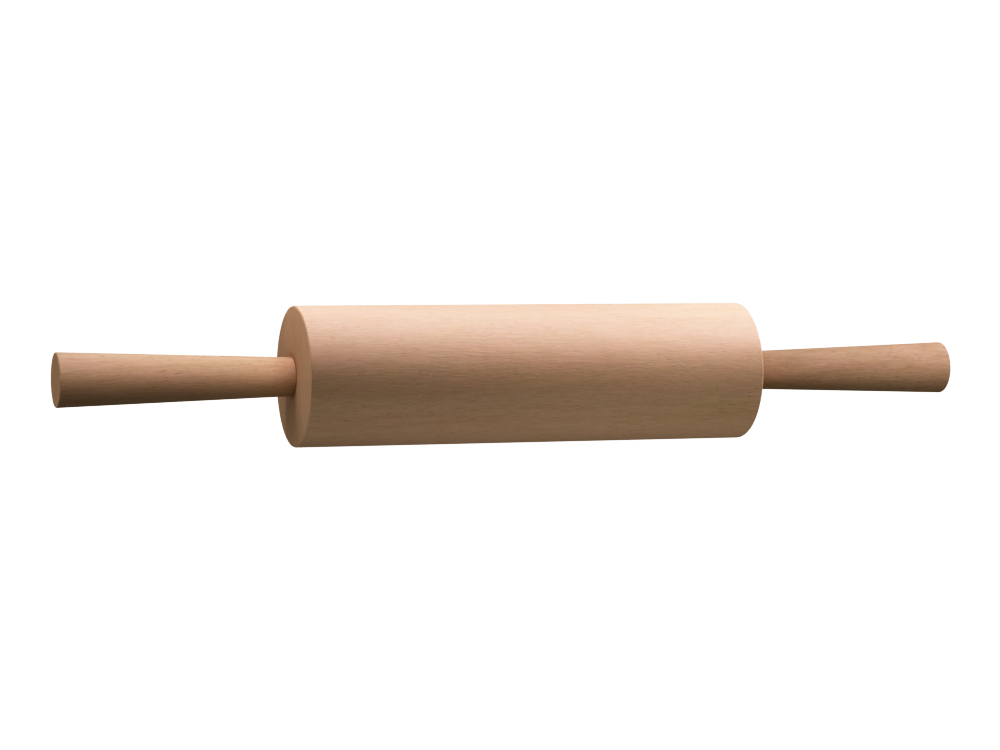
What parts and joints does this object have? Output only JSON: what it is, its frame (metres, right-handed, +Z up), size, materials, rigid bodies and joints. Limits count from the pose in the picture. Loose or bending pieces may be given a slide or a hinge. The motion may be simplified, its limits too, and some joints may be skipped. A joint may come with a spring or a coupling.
{
  "type": "rolling pin",
  "caption": "Beech rolling pin: a straight turned roller that runs on ball bearings round a steel axle, with a tapered turned handle at each end.",
  "frame": {"origin": "on the axle's axis, halfway along the roller", "axes": "+X along the axle towards the right handle, +Z up, the roller's lowest line at Z = -0.0325 m"},
  "size_m": [0.438, 0.065, 0.065],
  "materials": {
    "roller_beech": "satin",
    "handle_beech": "satin",
    "axle_steel": "satin",
    "insert_brass": "satin",
    "cup_steel": "satin",
    "race_steel": "polished",
    "ball_steel": "polished",
    "cage_plastic": "matte",
    "shield_steel": "satin"
  },
  "bodies": {
    "roller": {"roller": "roller_beech", "left_bearing_cup": "cup_steel", "right_bearing_cup": "cup_steel", "left_outer_race": "race_steel", "right_outer_race": "race_steel", "left_shields": "shield_steel", "right_shields": "shield_steel"},
    "grips": {"axle": "axle_steel", "left_handle": "handle_beech", "right_handle": "handle_beech", "left_insert": "insert_brass", "right_insert": "insert_brass", "left_spacer": "axle_steel", "right_spacer": "axle_steel", "left_inner_race": "race_steel", "right_inner_race": "race_steel"},
    "left_ball_train": {"left_balls": "ball_steel", "left_ball_cage": "cage_plastic"},
    "right_ball_train": {"right_balls": "ball_steel", "right_ball_cage": "cage_plastic"}
  },
  "joints": [
    {"name": "grips_spin", "type": "hinge", "parent": "roller", "child": "grips", "pos_m": [0, 0, 0], "axis": [1, 0, 0], "continuous": true},
    {"name": "left_ball_train_spin", "type": "hinge", "parent": "roller", "child": "left_ball_train", "pos_m": [-0.1078, 0, 0], "axis": [1, 0, 0], "continuous": true},
    {"name": "right_ball_train_spin", "type": "hinge", "parent": "roller", "child": "right_ball_train", "pos_m": [0.1078, 0, 0], "axis": [1, 0, 0], "continuous": true}
  ],
  "couplings": [
    {"joint": "left_ball_train_spin", "follows": "grips_spin", "ratio": 0.38095},
    {"joint": "right_ball_train_spin", "follows": "grips_spin", "ratio": 0.38095}
  ]
}
